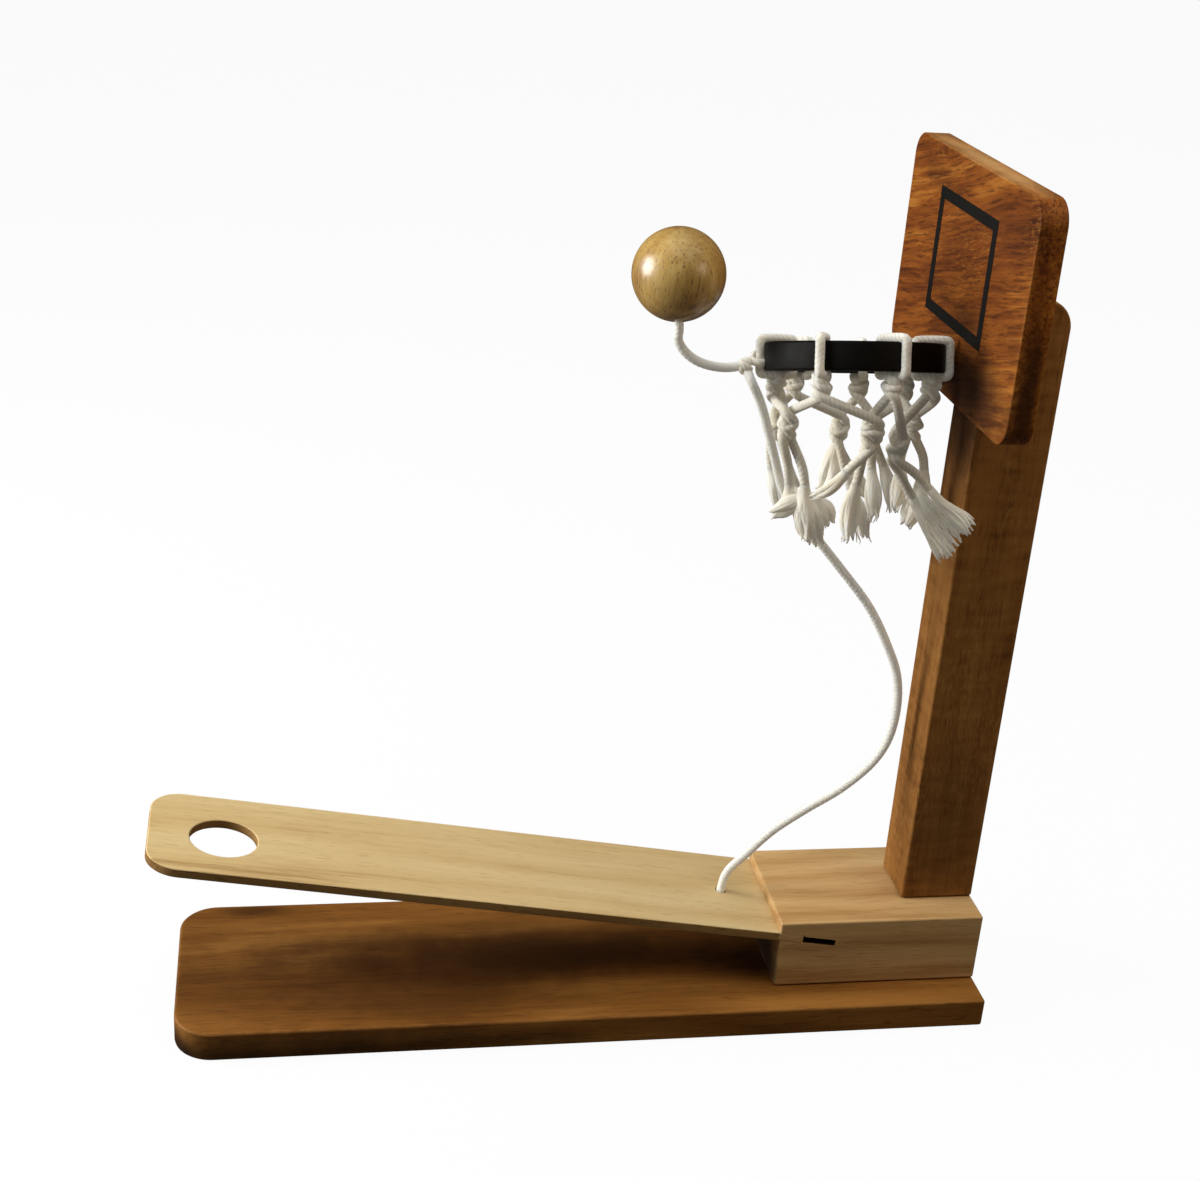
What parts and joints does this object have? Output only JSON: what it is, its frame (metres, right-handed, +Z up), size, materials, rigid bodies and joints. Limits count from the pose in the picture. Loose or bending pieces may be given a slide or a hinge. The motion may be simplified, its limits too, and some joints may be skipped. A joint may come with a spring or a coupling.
{
  "type": "tabletop basketball game",
  "caption": "Wooden desktop basketball game: a springy slat in a slotted block flicks a tethered ball at a corded hoop on a backboard and post.",
  "frame": {"origin": "centre of the base board's underside", "axes": "+Z up; +X along the base board towards the post; -X towards the slat's free end"},
  "size_m": [0.2885, 0.111, 0.296],
  "materials": {
    "dark_wood": "oiled, open grain",
    "light_wood": "oiled, pale straight grain",
    "ball_wood": "gloss varnish",
    "hoop_paint": "black paint",
    "dowel_wood": "plain",
    "cotton_cord": "twisted cotton",
    "screw_steel": "plain"
  },
  "bodies": {
    "stand": {"base_board": "dark_wood", "spring_block": "light_wood", "arm_tongue": "light_wood", "post": "dark_wood", "backboard": "dark_wood", "hoop_ring": "hoop_paint", "hoop_peg": "dowel_wood", "post_dowel_1": "dowel_wood", "post_dowel_2": "dowel_wood", "board_dowel_1": "dowel_wood", "board_dowel_2": "dowel_wood", "block_screw_1": "screw_steel", "block_screw_2": "screw_steel", "net_cord_1": "cotton_cord", "net_cord_2": "cotton_cord", "net_cord_3": "cotton_cord", "net_cord_4": "cotton_cord", "net_cord_5": "cotton_cord", "net_cord_6": "cotton_cord", "net_cord_7": "cotton_cord", "tether_main": "cotton_cord", "tether_hitch": "cotton_cord"},
    "slat": {"launcher_arm": "light_wood", "tether_knot": "cotton_cord"},
    "ball_on_cord": {"ball": "ball_wood", "tether_ball_end": "cotton_cord"}
  },
  "joints": [
    {"name": "arm_flex", "type": "hinge", "parent": "stand", "child": "slat", "pos_m": [0.0662, 0, 0.0313], "axis": [0, -1, 0], "range_deg": [0, 13], "stiffness_Nm_per_rad": 15},
    {"name": "ball_swing", "type": "hinge", "parent": "stand", "child": "ball_on_cord", "pos_m": [0.03959, 0.00291, 0.22899], "axis": [0, -1, 0], "range_deg": [-80, 95]}
  ]
}
